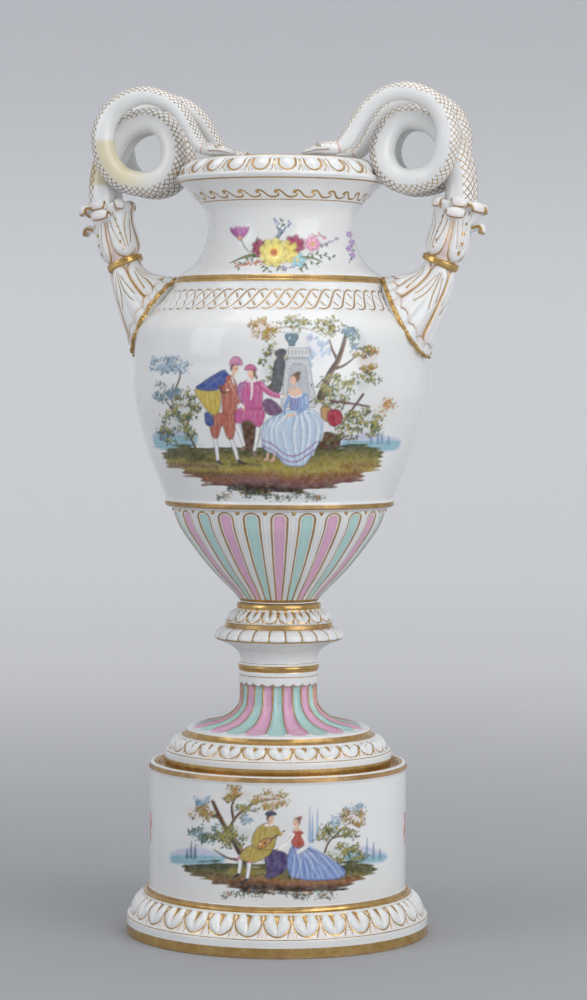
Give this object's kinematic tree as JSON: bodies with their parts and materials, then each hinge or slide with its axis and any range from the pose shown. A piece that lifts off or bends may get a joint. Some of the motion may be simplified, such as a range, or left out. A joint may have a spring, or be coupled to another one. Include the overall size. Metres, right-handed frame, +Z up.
{
  "type": "handled vase",
  "caption": "Tall porcelain urn-shaped vase with coiled snake handles, leaf mouldings, flutes and painted scenes, on a waisted foot and a round drum pedestal.",
  "frame": {"origin": "centre of the ring that the pedestal stands on, at the level of the table", "axes": "+Z up along the axis of the vase, X through both handles, -Y towards the painted front"},
  "size_m": [0.311, 0.2268, 0.6321],
  "materials": {
    "glazed_porcelain": null
  },
  "bodies": {
    "root": {"pedestal": "glazed_porcelain", "vase_foot": "glazed_porcelain", "vase_body": "glazed_porcelain"}
  },
  "joints": []
}
